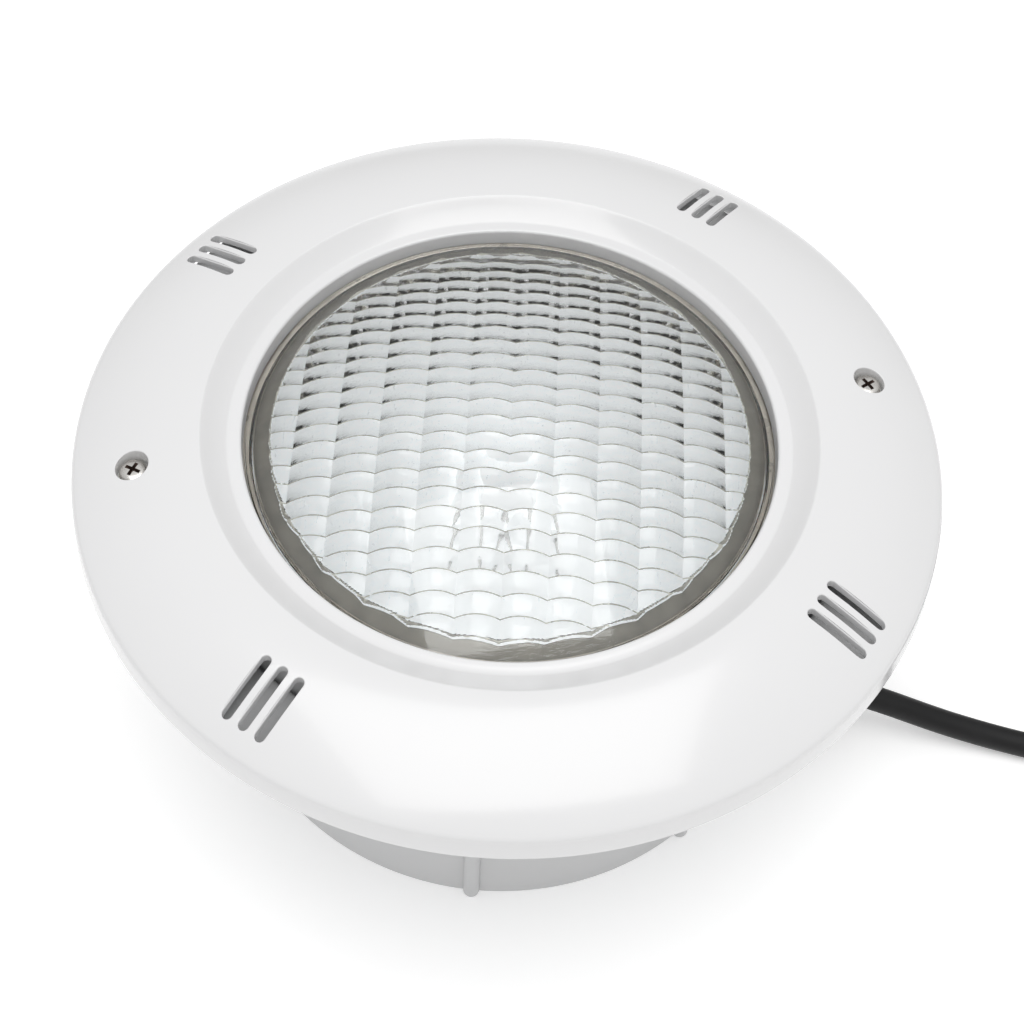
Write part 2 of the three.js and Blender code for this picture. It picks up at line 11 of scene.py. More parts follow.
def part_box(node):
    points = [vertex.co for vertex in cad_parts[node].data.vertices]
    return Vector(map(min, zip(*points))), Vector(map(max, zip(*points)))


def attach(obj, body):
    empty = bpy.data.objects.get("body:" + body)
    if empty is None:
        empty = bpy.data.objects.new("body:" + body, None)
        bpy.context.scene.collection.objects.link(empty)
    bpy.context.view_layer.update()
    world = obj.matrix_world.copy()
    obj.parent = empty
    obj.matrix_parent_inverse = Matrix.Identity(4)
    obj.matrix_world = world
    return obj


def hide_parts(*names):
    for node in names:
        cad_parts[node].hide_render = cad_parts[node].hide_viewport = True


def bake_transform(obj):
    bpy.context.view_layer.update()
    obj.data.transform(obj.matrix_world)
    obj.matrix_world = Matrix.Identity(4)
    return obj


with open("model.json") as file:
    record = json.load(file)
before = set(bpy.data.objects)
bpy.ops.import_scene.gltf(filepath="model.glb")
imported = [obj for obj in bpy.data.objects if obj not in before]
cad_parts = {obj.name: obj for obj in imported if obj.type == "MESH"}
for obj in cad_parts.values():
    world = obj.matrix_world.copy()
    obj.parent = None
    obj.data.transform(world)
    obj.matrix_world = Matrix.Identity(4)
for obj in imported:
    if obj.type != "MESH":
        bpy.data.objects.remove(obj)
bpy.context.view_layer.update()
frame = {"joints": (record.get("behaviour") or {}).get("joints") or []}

# Underwater pool light: the looks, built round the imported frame.
# Outlines and routes are written in millimetres and turned into metres by solid().

MM = 0.001
scene = bpy.context.scene


def box(node):
    """Lowest and highest corner of a CAD node, in millimetres."""
    low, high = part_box(node)
    return low / MM, high / MM


# ---- driving dimensions, from the frame ----

FACE_LOW, FACE_HIGH = box("faceplate")
LENS_LOW, LENS_HIGH = box("lamp_lens")
NICHE_LOW, NICHE_HIGH = box("niche_body")
REFLECTOR_LOW, REFLECTOR_HIGH = box("lamp_reflector")
COIL_LOW, COIL_HIGH = box("cable_coil")

RIM = FACE_HIGH.x
RIM_BASE = FACE_LOW.z
CREST = 98.0
CREST_TOP = FACE_HIGH.z
LIP_TOP = CREST_TOP - 5.2
LIP_BASE = CREST_TOP - 11
OPENING = 85.5
SCREW_PITCH_RADIUS = (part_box("faceplate_screw_right")[0].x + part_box("faceplate_screw_right")[1].x) / 2 / MM
LAMP = LENS_HIGH.x
DOME = 84.6
DOME_SPHERE = 183.0
LENS_TOP = LENS_HIGH.z
MOUTH = 82.5
CABLE = 4.75

JOINTS = {joint["name"]: joint for joint in frame["joints"]}
OUTLET_AXIS = Vector(JOINTS["nut_turn"]["axis"])
OUTLET_POINT = Vector(JOINTS["nut_turn"]["pos_m"]) / MM
OUTLET_ANGLE = math.atan2(OUTLET_AXIS.y, OUTLET_AXIS.x)
OUTLET = (
    Matrix.Translation((0, 0, OUTLET_POINT.z * MM))
    @ Matrix.Rotation(OUTLET_ANGLE, 4, "Z")
    @ Matrix.Rotation(math.pi / 2, 4, "Y")
)

# ---- mesh helpers ----


def solid(points, faces):
    """A mesh object from points in millimetres, with its faces turned outwards."""
    mesh = bpy.data.meshes.new("solid")
    mesh.from_pydata([tuple(c * MM for c in p) for p in points], [], faces)
    work = bmesh.new()
    work.from_mesh(mesh)
    bmesh.ops.remove_doubles(work, verts=work.verts, dist=1e-7)
    bmesh.ops.dissolve_degenerate(work, edges=work.edges, dist=1e-8)
    bmesh.ops.recalc_face_normals(work, faces=work.faces)
    work.to_mesh(mesh)
    work.free()
    piece = bpy.data.objects.new("solid", mesh)
    scene.collection.objects.link(piece)
    return piece


def moved(piece, *steps):
    """Applies matrices to a solid's mesh, the last one first."""
    for matrix in reversed(steps):
        piece.data.transform(matrix)
    return piece


def shift(x, y, z):
    return Matrix.Translation((x * MM, y * MM, z * MM))


def turn(degrees, axis="Z"):
    return Matrix.Rotation(math.radians(degrees), 4, axis)


def combine(base, additions=(), cuts=()):
    """Joins the additions to the base and takes the cuts out of it."""
    for operation, others in (("UNION", additions), ("DIFFERENCE", cuts)):
        for other in others:
            modifier = base.modifiers.new("cut", "BOOLEAN")
            modifier.operation = operation
            modifier.solver = "MANIFOLD"
            modifier.object = other
    graph = bpy.context.evaluated_depsgraph_get()
    result = bpy.data.meshes.new_from_object(base.evaluated_get(graph))
    base.modifiers.clear()
    base.data = result
    for other in [*additions, *cuts]:
        bpy.data.objects.remove(other)
    return base


def soften(outline, radius, steps=3, closed=True):
    """Rounds the corners of an outline, each by at most the radius and under half of its sides."""
    points = [Vector(p) for p in outline]
    result = []
    for i, corner in enumerate(points):
        if not closed and i in (0, len(points) - 1):
            result.append(tuple(corner))
            continue
        before = points[i - 1] - corner
        after = points[(i + 1) % len(points)] - corner
        bend = math.pi - before.angle(after, 0)
        on_axis = corner[0] == 0
        if bend < 0.3 or on_axis:
            result.append(tuple(corner))
            continue
        reach = min(radius * math.tan(bend / 2), 0.45 * before.length, 0.45 * after.length)
        start = corner + before.normalized() * reach
        end = corner + after.normalized() * reach
        for k in range(steps + 1):
            t = k / steps
            point = start * (1 - t) ** 2 + corner * (2 * t * (1 - t)) + end * t * t
            result.append(tuple(point))
    return result


def arc(start, end, bulge, steps):
    """Points of a shallow arc that bulges to the left of the way from start to end."""
    dx, dz = end[0] - start[0], end[1] - start[1]
    span = math.hypot(dx, dz)
    points = []
    for i in range(steps + 1):
        t = i / steps
        rise = 4 * bulge * t * (1 - t) / span
        points.append((start[0] + dx * t - dz * rise, start[1] + dz * t + dx * rise))
    return points


def belt(here, there, count):
    """Faces that join two closed loops of count points, from their first points' numbers."""
    return [[here + k, here + (k + 1) % count, there + (k + 1) % count, there + k] for k in range(count)]


def lathe(outline, segments=64, shape=None):
    """Turns an outline of (radius, height) points about Z.

    shape(angle, radius, height) may change a radius."""
    count = len(outline)
    points = []
    for s in range(segments):
        angle = 2 * math.pi * s / segments
        for r, z in outline:
            radius = shape(angle, r, z) if shape else r
            points.append((radius * math.cos(angle), radius * math.sin(angle), z))
    ring = outline[0][0] > 0
    faces = []
    for s in range(segments):
        here, there = s * count, (s + 1) % segments * count
        for i in range(count if ring else count - 1):
            j = (i + 1) % count
            face = [here + i, here + j, there + j, there + i]
            faces.append(face)
    return solid(points, faces)


def ring_outline(inner, outer, base, top):
    return [(inner, base), (outer, base), (outer, top), (inner, top)]


def rod_outline(radius, base, top):
    return [(0, base), (radius, base), (radius, top), (0, top)]


def smooth_route(points, spacing=3.0):
    """Points along a Catmull-Rom curve through the given ones, evenly close together."""
    p = [np.array(q, float) for q in points]
    p = [2 * p[0] - p[1], *p, 2 * p[-1] - p[-2]]
    result = [p[1]]
    for a, b, c, d in zip(p, p[1:], p[2:], p[3:]):
        steps = max(1, round(np.linalg.norm(c - b) / spacing))
        for k in range(1, steps + 1):
            t = k / steps
            result.append(0.5 * (2 * b + (c - a) * t + (2 * a - 5 * b + 4 * c - d) * t * t
                                 + (3 * b - a - 3 * c + d) * t ** 3))
    return result


def sweep(route, section, closed=False, up=(0, 0, 1)):
    """Carries a cross-section, (across, up) points, along a route with no twist.

    up is the section's first up direction. It must not lie along the start of the route."""
    route = [Vector(p) for p in route]
    count, sides = len(route), len(section)
    points = []
    up = Vector(up)
    for i, centre in enumerate(route):
        if closed:
            ahead = (route[(i + 1) % count] - route[i - 1]).normalized()
        else:
            ahead = (route[min(i + 1, count - 1)] - route[max(i - 1, 0)]).normalized()
        if abs(up.dot(ahead)) > 0.999:
            up = ahead.orthogonal()
        across = up.cross(ahead).normalized()
        up = ahead.cross(across).normalized()
        points += [tuple(centre + across * a + up * b) for a, b in section]
    faces = []
    for i in range(count if closed else count - 1):
        here, there = i * sides, (i + 1) % count * sides
        faces += belt(here, there, sides)
    if not closed:
        faces += [list(range(sides)), list(range((count - 1) * sides, count * sides))]
    return solid(points, faces)


def disc(radius, sides=20):
    return [(radius * math.cos(2 * math.pi * k / sides), radius * math.sin(2 * math.pi * k / sides))
            for k in range(sides)]


def prism(outline, base, top, edge=0.0, holes=()):
    """Stands an outline up from base to top, its rims rounded by edge. holes are (x, y, radius)."""
    outline = [Vector(p) for p in outline]
    count = len(outline)
    area = sum(a.x * b.y - b.x * a.y for a, b in zip(outline, outline[1:] + outline[:1]))
    if area < 0:
        outline.reverse()
    inward = []
    for i in range(count):
        side = (outline[(i + 1) % count] - outline[i - 1]).normalized()
        inward.append(Vector((-side.y, side.x)))
    rims = [(edge * (1 - math.sin(a)), edge * (1 - math.cos(a))) for a in (0, 0.52, 1.05, math.pi / 2)]
    levels = [(i, base + z) for i, z in rims] if edge else [(0, base)]
    levels += [(i, top - z) for i, z in reversed(rims)] if edge else [(0, top)]
    points = []
    for step, z in levels:
        points += [(*(p + n * step), z) for p, n in zip(outline, inward)]
    faces = []
    for level in range(len(levels) - 1):
        here, there = level * count, (level + 1) * count
        faces += belt(here, there, count)
    faces += [list(range(count)), list(range((len(levels) - 1) * count, len(levels) * count))]
    piece = solid(points, faces)
    drills = [moved(lathe(rod_outline(r, base - 5, top + 5), 32), shift(x, y, 0)) for x, y, r in holes]
    return combine(piece, [], drills) if drills else piece


def rectangle(width, depth, corner=0.8):
    w, d = width / 2, depth / 2
    return soften([(-w, -d), (w, -d), (w, d), (-w, d)], corner, 4)


def place(piece, name, body, material, nodes=None, sharp=32, between=None):
    """Names a finished solid, gives it its material, hangs it on its body unless it runs between two, and
    hides the CAD nodes that it stands for.
    """
    piece.name = f"{name}_look"
    piece.data.name = piece.name
    piece.data.materials.clear()
    for each in material if isinstance(material, list) else [material]:
        piece.data.materials.append(each)
    piece.data.shade_smooth()
    piece.data.set_sharp_from_angle(angle=math.radians(sharp))
    weighted = piece.modifiers.new("weighted", "WEIGHTED_NORMAL")
    weighted.keep_sharp = True
    if between:
        piece.modifiers.clear()
        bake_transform(piece)
    else:
        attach(piece, body)
    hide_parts(*(nodes or [name]))
    return piece


# ---- camera ----


def camera():
    data = bpy.data.cameras.new("camera")
    data.sensor_width = 36
    data.lens = 54.73
    view = bpy.data.objects.new("camera", data)
    right = Vector((0.98479, -0.17002, 0.03582))
    down = Vector((-0.12084, -0.81832, -0.56192))
    ahead = right.cross(down).normalized()
    turned = Matrix((right, -down, -ahead)).transposed().to_4x4()
    view.matrix_world = Matrix.Translation((-0.06522, -0.29588, 0.53424)) @ turned
    scene.collection.objects.link(view)
    scene.camera = view


# ---- materials ----


def finish(name, colour, roughness, spread=0.04, shade=0.02, mottle=30.0, grain=0.0, grain_scale=900.0,
           stretch=(1, 1, 1), **settings):
    """A procedural finish: uneven colour and roughness, and a fine grain (its depth in millimetres)."""
    made = bpy.data.materials.new(name)
    made.use_nodes = True
    nodes, links = made.node_tree.nodes, made.node_tree.links
    shader = nodes["Principled BSDF"]
    spot = nodes.new("ShaderNodeTexCoord")
    mapping = nodes.new("ShaderNodeMapping")
    mapping.inputs["Scale"].default_value = stretch
    links.new(spot.outputs["Object"], mapping.inputs["Vector"])
    cloud = nodes.new("ShaderNodeTexNoise")
    cloud.inputs["Scale"].default_value = mottle
    cloud.inputs["Detail"].default_value = 4
    links.new(mapping.outputs["Vector"], cloud.inputs["Vector"])
    ramp = nodes.new("ShaderNodeValToRGB")
    for element, factor, at in zip(ramp.color_ramp.elements, (1 - shade, 1 + shade), (0.3, 0.7)):
        element.position = at
        element.color = (*[min(1, c * factor) for c in colour], 1)
    links.new(cloud.outputs["Fac"], ramp.inputs["Fac"])
    links.new(ramp.outputs["Color"], shader.inputs["Base Color"])
    uneven = nodes.new("ShaderNodeMapRange")
    uneven.inputs["From Min"].default_value = 0.3
    uneven.inputs["From Max"].default_value = 0.7
    uneven.inputs["To Min"].default_value = max(0, roughness - spread)
    uneven.inputs["To Max"].default_value = roughness + spread
    links.new(cloud.outputs["Fac"], uneven.inputs["Value"])
    links.new(uneven.outputs["Result"], shader.inputs["Roughness"])
    if grain:
        fine = nodes.new("ShaderNodeTexNoise")
        fine.inputs["Scale"].default_value = grain_scale
        fine.inputs["Detail"].default_value = 3
        links.new(mapping.outputs["Vector"], fine.inputs["Vector"])
        bump = nodes.new("ShaderNodeBump")
        bump.inputs["Distance"].default_value = grain * MM
        bump.inputs["Strength"].default_value = 1
        links.new(fine.outputs["Fac"], bump.inputs["Height"])
        links.new(bump.outputs["Normal"], shader.inputs["Normal"])
    for socket, value in settings.items():
        shader.inputs[socket.replace("_", " ")].default_value = value
    return made


WHITE_ABS = finish("white_abs", (0.77, 0.77, 0.775), 0.2, 0.05, 0.006, 18, 0.012, 260, Coat_Weight=0.25,
                   Coat_Roughness=0.08, Specular_IOR_Level=0.5)
GREY_ABS = finish("grey_abs", (0.55, 0.553, 0.557), 0.4, 0.07, 0.02, 25, 0.02, 700)
DARK_NYLON = finish("dark_nylon", (0.028, 0.029, 0.031), 0.42, 0.08, 0.15, 120, 0.03, 1500)
GLASS = finish("lens_glass", (0.975, 0.985, 0.98), 0.012, 0.01, 0.004, 30, 0.004, 90,
               Transmission_Weight=1.0, IOR=1.5)
PRISM_GLASS = finish("lens_prisms", (0.945, 0.96, 0.975), 0.04, 0.02, 0.06, 560, 0.06, 600, (0.35, 1, 1),
                     Transmission_Weight=1.0, IOR=1.5)
# Olive-grey glass for the risers and the pattern's sloped edge: painted shade, for the dark lines they show.
SHADED_RISER_GLASS = finish("lens_risers_painted_shade", (0.52, 0.50, 0.42), 0.26, 0.12, 0.2, 160, 0.02, 700,
                     Transmission_Weight=0.45, IOR=1.5)
# The reflector and filament shield get a faint glow, painted light, so that the lens comes out as bright as
# the photo shows it.
GLOWING_MIRROR = finish("reflector_aluminium", (0.95, 0.965, 0.975), 0.34, 0.08, 0.03, 420, 0.05, 360, Metallic=0.22,
                Specular_IOR_Level=0.8, Emission_Color=(0.94, 0.98, 1, 1), Emission_Strength=0.13)
SEAL_METAL = finish("reflector_seal", (0.23, 0.215, 0.18), 0.45, 0.1, 0.2, 160, 0.04, 300, Metallic=0.3)
RIM_METAL = finish("reflector_rim", (0.70, 0.64, 0.56), 0.36, 0.1, 0.14, 130, 0.05, 260, Metallic=0.4)
SILICONE = finish("silicone", (0.74, 0.72, 0.68), 0.5, 0.08, 0.04, 60, 0.02, 500, Subsurface_Weight=0.15,
                  Subsurface_Scale=0.003)
RUBBER = finish("black_rubber", (0.0105, 0.0105, 0.011), 0.55, 0.08, 0.2, 60, 0.03, 1800, Sheen_Weight=0.04,
                Sheen_Roughness=0.4, Specular_IOR_Level=0.3)
STEEL = finish("stainless_steel", (0.66, 0.64, 0.61), 0.26, 0.08, 0.08, 300, 0.01, 1500, (1, 1, 6),
               Metallic=1.0)
# Dark steel for the inside of the screws' cross recesses: painted shade.
RECESS_PAINTED_SHADE = finish("recess_steel_painted_shade", (0.13, 0.09, 0.075), 0.4, 0.08, 0.2, 600, 0.01, 1500, Metallic=0.7)
BRASS = finish("brass", (0.78, 0.60, 0.30), 0.28, 0.09, 0.12, 200, 0.01, 1200, Metallic=1.0)
TUNGSTEN = finish("tungsten", (0.62, 0.61, 0.6), 0.4, 0.08, 0.1, 400, 0.01, 2500, Metallic=1.0)
NYLON = finish("natural_nylon", (0.78, 0.76, 0.69), 0.42, 0.07, 0.04, 90, 0.02, 1200, Subsurface_Weight=0.1,
               Subsurface_Scale=0.002)
BROWN = finish("brown_insulation", (0.11, 0.04, 0.018), 0.36, 0.06, 0.1, 150, 0.01, 1600)
BLUE = finish("blue_insulation", (0.012, 0.075, 0.34), 0.36, 0.06, 0.1, 150, 0.01, 1600)


# ---- outside lead ----

# The route from inside the cap nut, down to the floor and out to the coil, as in the frame.
CABLE_ROUTE = [
    (115.2, -47.7, 18), (123.8, -51.3, 18), (128.5, -53.2, 17.6), (135.5, -56, 16), (142.5, -58.7, 13.9),
    (149.5, -61.4, 11.6), (157, -64.3, 9.3), (165.5, -67.7, 7.3), (175.5, -71.9, 5.8), (186, -76.4, 5),
    (200, -82.6, 4.9), (216, -90.4, 5.5), (232, -98.3, 6.1), (246, -105.2, 6.3),
]

# The free end, from the top of the coil down against its side.
TAIL_ROUTE = [
    (332.2, -10, 15.8), (327.7, -1.3, 14.6), (322.4, 7.8, 11.2), (315, 15.3, 7.2), (305.6, 20, 5.2),
    (294.2, 23.5, 4.8), (282.5, 25.1, 4.8),
]

CORE_ENDS = {
    "brown": [(281.2, 27, 4.6), (275, 28.2, 3.6), (266, 29.6, 2.1), (257, 29.8, 1.9), (249, 28.4, 1.9)],
    "blue": [(281.2, 23.2, 4.6), (275, 22.6, 3.6), (266, 22.4, 2.1), (258, 21, 1.9), (250.5, 18.6, 1.9)],
}
COIL_CENTRE = (COIL_LOW + COIL_HIGH) / 2
LOWER_TURNS = [65.25, 55.75, 46.25, 36.75]
UPPER_TURNS = [41.5, 51, 60.5]
TURN_START = -116  # degrees: where the lead reaches the coil
STEP_ARC = 90  # degrees of each turn in which it moves over to the next


def ease(t):
    t = min(1, max(0, t))
    return t * t * (3 - 2 * t)


def coil_turns():
    """Points along the coil: four turns inwards on the floor, then outwards on top of them."""
    low = COIL_LOW.z + CABLE
    nested = 1.74 * CABLE  # an upper turn lies in the groove between two lower ones
    radii = LOWER_TURNS + UPPER_TURNS
    points = []
    step = 7.5
    end = 360 * len(radii) - (360 - 128)
    angle = step
    while angle < end:
        lap = int(angle // 360)
        within = angle - 360 * lap
        following = radii[min(lap + 1, len(radii) - 1)]
        crossing = ease((within - 360 + STEP_ARC) / STEP_ARC)
        radius = radii[lap] + (following - radii[lap]) * crossing
        climb = ease((angle - 360 * len(LOWER_TURNS) + 2 * STEP_ARC) / STEP_ARC)
        spot = math.radians(TURN_START + angle)
        points.append((COIL_CENTRE.x + radius * math.cos(spot), COIL_CENTRE.y + radius * math.sin(spot),
                       low + climb * (nested + (2 * CABLE - nested) * 4 * crossing * (1 - crossing))))
        angle += step
    return points


def crimped(angle, r, z):
    """A shape for lathe() that presses a ferrule's sleeve into six ridges."""
    return r * (1 + 0.05 * math.cos(6 * angle) if z > 4 and r > 1 else 1)


def outside_lead():
    route = smooth_route([*CABLE_ROUTE, *coil_turns(), *TAIL_ROUTE[1:]], 3.2)
    lead = sweep(route, disc(CABLE, 24))
    place(lead, "lead", "niche", RUBBER, ["cable_run", "cable_coil", "cable_tail"], 50)
    others = []
    for name, material in (("brown", BROWN), ("blue", BLUE)):
        wire = smooth_route(CORE_ENDS[name], 1.5)
        core = sweep(wire, disc(1.7, 14))
        others.append(place(core, f"end_core_{name}", "niche", material))
        ahead = (Vector(wire[-1]) - Vector(wire[-2])).normalized()
        outline = soften([(0, 0), (1.9, 0), (1.75, 2.4), (1.1, 3.6), (1.1, 12), (0, 12)], 0.25)
        ferrule = lathe(outline, 32, crimped)
        aim = ahead.to_track_quat("Z", "Y").to_matrix().to_4x4()
        moved(ferrule, Matrix.Translation((Vector(wire[-1]) + ahead * 0.3) * MM), aim)
        others.append(place(ferrule, f"end_ferrule_{name}", "niche", STEEL))
    others += [coil_tie(1, 19.4), coil_tie(2, 20.7)]


def coil_tie(number, tall):
    """A strap round the coil's section, with a ratchet head on top and a short trimmed end."""
    low, high = box(f"coil_tie_{number}")
    middle = (low + high) / 2 - COIL_CENTRE
    angle = math.atan2(middle.y, middle.x)
    reach = math.hypot(middle.x, middle.y)
    wide, thick = 40.3, 1.0
    base = 0.6
    top = base + tall
    corners = [(-wide / 2, base), (wide / 2, base), (wide / 2, top), (-wide / 2, top)]
    path = [(x, 0, z) for x, z in soften(corners, 4, 6)]
    band = sweep(path, rectangle(thick, 4.6, 0.25), closed=True, up=(0, 1, 0))
    head = prism(rectangle(7.6, 7, 0.9), top - 0.3, top + 3.9, 0.5)
    end = moved(prism(rectangle(5, 4.4, 0.3), top + 0.8, top + 1.8, 0.2), shift(5, 0, 0))
    window = prism(rectangle(1.6, 5, 0.3), top + 1.6, top + 6)
    tie = combine(band, [head, end], [window])
    moved(tie, shift(COIL_CENTRE.x, COIL_CENTRE.y, 0), Matrix.Rotation(angle, 4, "Z"), shift(reach, 0, 0))
    return place(tie, f"coil_tie_{number}", "niche", NYLON)


# ---- faceplate ----

CROWN = arc((RIM - 2.4, RIM_BASE + 9.9), (CREST, CREST_TOP), -2.2, 24)
SCREW_SEAT = CREST_TOP - 8.8
SLOT_RADII = (111.2, 131.8)
SLOT_WIDTH = 3.2
SLOT_PITCH = 6
CLAMP_SCREW_RADIUS = 98.5
CLAMP_ANGLES = (20, 110, 200, 290)


def crown_height(radius):
    return float(np.interp(radius, [r for r, z in reversed(CROWN)], [z for r, z in reversed(CROWN)]))


def flared_cut(outline, base, flare):
    """A cutter that stands on base and opens out in a small round where it meets the crown."""
    outline = [Vector(p) for p in outline]
    count = len(outline)
    outward = []
    for i in range(count):
        side = (outline[(i + 1) % count] - outline[i - 1]).normalized()
        outward.append(Vector((side.y, -side.x)))
    points = [(*p, base) for p in outline]
    levels = []
    for degrees in (0, 18, 36, 54, 72):
        a = math.radians(degrees)
        levels.append((flare * (1 - math.cos(a)), 0.1 * flare - flare * (1 - math.sin(a))))
    levels.append((levels[-1][0], 5))
    for out, rise in levels:
        for p, n in zip(outline, outward):
            q = p + n * out
            points.append((*q, crown_height(q.length) + rise))
    faces = []
    for level in range(len(levels)):
        here, there = level * count, (level + 1) * count
        faces += belt(here, there, count)
    faces += [list(range(count)), list(range(len(levels) * count, (len(levels) + 1) * count))]
    return solid(points, faces)


def slot_outline(beside, angle):
    """A round-ended slot that points at the light's axis, beside its group's middle line."""
    half = SLOT_WIDTH / 2
    ends = ((SLOT_RADII[1] - half, -90), (SLOT_RADII[0] + half, 90))
    turned = math.radians(angle)
    points = []
    for centre, first in ends:
        for k in range(11):
            a = math.radians(first + 18 * k)
            x, y = centre + half * math.cos(a), beside + half * math.sin(a)
            points.append((x * math.cos(turned) - y * math.sin(turned),
                           x * math.sin(turned) + y * math.cos(turned)))
    return points


def faceplate():
    outline = [
        (RIM - 2.7, RIM_BASE + 0.5), (RIM - 2.3, RIM_BASE), (RIM - 0.6, RIM_BASE), (RIM, RIM_BASE + 0.6),
        *arc((RIM - 0.05, RIM_BASE + 1.4), (RIM - 0.8, RIM_BASE + 7.4), -0.05, 4),
        (RIM - 0.9, RIM_BASE + 8.1), (RIM - 1.15, RIM_BASE + 8.8), (RIM - 1.6, RIM_BASE + 9.35),
        *CROWN[:-1],
        *soften([CROWN[-2], (CREST, CREST_TOP), (CREST - 0.9, CREST_TOP - 0.6)], 1.2, 5, False)[1:-1],
        *arc((CREST - 0.9, CREST_TOP - 0.6), (90.5, LIP_TOP - 0.1), 0.12, 4),
        (90.0, LIP_TOP - 0.32), (89.4, LIP_TOP - 0.36), (88, LIP_TOP - 0.2), (OPENING + 1.1, LIP_TOP),
        (OPENING + 0.6, LIP_TOP - 0.08), (OPENING + 0.2, LIP_TOP - 0.4), (OPENING, LIP_TOP - 0.95),
        (OPENING, LIP_BASE), (93, LIP_BASE), (93.6, LIP_BASE + 3.8),
        *arc((CREST + 1.2, CREST_TOP - 3.1), (RIM - 4.6, RIM_BASE + 7.8), 2, 14),
        (RIM - 3.1, RIM_BASE + 6.2),
    ]
    shell = lathe(outline, 256)
    additions, cuts = [], []
    for side in (-1, 1):
        x = side * SCREW_PITCH_RADIUS
        boss = soften(rod_outline(7.5, SCREW_SEAT - 6.4, SCREW_SEAT + 3.4), 0.4)
        additions.append(moved(lathe(boss, 48), shift(x, 0, 0)))
        circle = [(x + 5.3 * math.cos(a), 5.3 * math.sin(a)) for a in np.linspace(0, 2 * math.pi, 48, False)]
        cuts.append(flared_cut(circle, SCREW_SEAT, 0.4))
        cuts.append(moved(lathe(rod_outline(2.8, RIM_BASE, SCREW_SEAT + 1), 32), shift(x, 0, 0)))
    for angle in CLAMP_ANGLES:
        spot = turn(angle) @ shift(CLAMP_SCREW_RADIUS, 0, 0)
        boss = soften(rod_outline(3.6, RIM_BASE, CREST_TOP - 3.2), 0.3)
        additions.append(moved(lathe(boss, 32), spot))
        cuts.append(moved(lathe(rod_outline(2.1, RIM_BASE - 1, RIM_BASE + 11.7), 24), spot))
    for k in range(16):
        rib = prism(rectangle(27, 1.6, 0.3), RIM_BASE + 5.2, RIM_BASE + 12, 0.2)
        additions.append(moved(rib, turn(11.25 + 22.5 * k), shift(119.5, 0, 0)))
    additions.append(lathe(soften(ring_outline(108.4, 110.1, RIM_BASE + 0.2, RIM_BASE + 16), 0.3), 192))
    combine(shell, additions)
    for angle in (45, 135, 225, 315):
        for k in (-1, 0, 1):
            cuts.append(flared_cut(slot_outline(k * SLOT_PITCH, angle), RIM_BASE - 2, 0.45))
    combine(shell, [], cuts)
    place(shell, "faceplate", "lamp_unit", WHITE_ABS)


# ---- lens and reflector ----

FLUTE = 13.5  # width of the lens's flutes
ROW = 6.3  # height of its prism rows
RISER = 0.34
BOW = 0.95  # how far each row bends back at the sides of a flute
PATTERN_EDGE = 75.7
LENS_BORE = 82.2
INNER_SPHERE = DOME_SPHERE - 3.0
FLUTE_TURN = math.radians(-12.4)


def cell_place(x, y):
    """Where (x, y) lies across its flute, from -1 to 1, and along its prism row, from 0 to 1."""
    u = x * math.cos(FLUTE_TURN) + y * math.sin(FLUTE_TURN)
    v = -x * math.sin(FLUTE_TURN) + y * math.cos(FLUTE_TURN)
    across = (u / FLUTE) % 1 * 2 - 1
    return across, ((v + BOW * across ** 2) / ROW + 1e-9) % 1


PATTERN_BASE = 0.3  # least thickness that the pattern adds to the glass
FLUTE_DEPTH = 1.0
PRISM_STEP = 0.2
ROW_BULGE = 0.3


def inner_height(x, y):
    """Height of the lens's patterned inner face at (x, y), in millimetres."""
    across, along = cell_place(x, y)
    r = np.hypot(x, y)
    smooth = LENS_TOP - DOME_SPHERE + np.sqrt(INNER_SPHERE ** 2 - r * r)
    slope = along / (1 - RISER / ROW)
    step = np.where(slope <= 1, slope, (1 - along) / (RISER / ROW))
    pillow = 1 - (2 * np.minimum(slope, 1) - 1) ** 2
    depth = PATTERN_BASE + FLUTE_DEPTH * across ** 2 + PRISM_STEP * step + ROW_BULGE * pillow
    return smooth - np.clip(depth - 0.85 * np.maximum(0, r - PATTERN_EDGE), 0, None)


def pattern_edge(angle):
    """How far the lens's pattern reaches from its middle in one direction, in millimetres."""
    reach = np.linspace(PATTERN_EDGE, 79, 67)
    smooth = LENS_TOP - DOME_SPHERE + np.sqrt(INNER_SPHERE ** 2 - reach ** 2)
    drop = smooth - inner_height(reach * math.cos(angle), reach * math.sin(angle))
    return float(reach[np.argmax(drop < 0.02)])


def pattern_points():
    """Points of the inner face on its flute and row lines, closest near the scalloped edge."""
    points = []
    rows = math.ceil(LENS_BORE / ROW)
    flutes = math.ceil(LENS_BORE / FLUTE)
    zones = ((10, 7, 0, 74.4), (30, 14, 74.4, 79.4), (8, 5, 79.4, LENS_BORE - 0.8))
    for across, along, nearest, furthest in zones:
        us = np.concatenate([np.linspace(k, k + 1, across, False) for k in range(-flutes, flutes)]) * FLUTE
        within = np.append(np.linspace(0, 1 - RISER / ROW, along), 1 - 1e-6)[:-1]
        vs = np.concatenate([k + within for k in range(-rows, rows)]) * ROW
        u, v = [g.ravel() for g in np.meshgrid(us, vs)]
        v = v - BOW * ((u / FLUTE) % 1 * 2 - 1) ** 2
        r = np.hypot(u, v)
        keep = (r >= nearest) & (r < furthest)
        points.append(np.stack([u[keep], v[keep]], 1))
    u, v = np.concatenate(points).T
    x = u * math.cos(FLUTE_TURN) - v * math.sin(FLUTE_TURN)
    y = u * math.sin(FLUTE_TURN) + v * math.cos(FLUTE_TURN)
    return np.stack([x, y], 1)


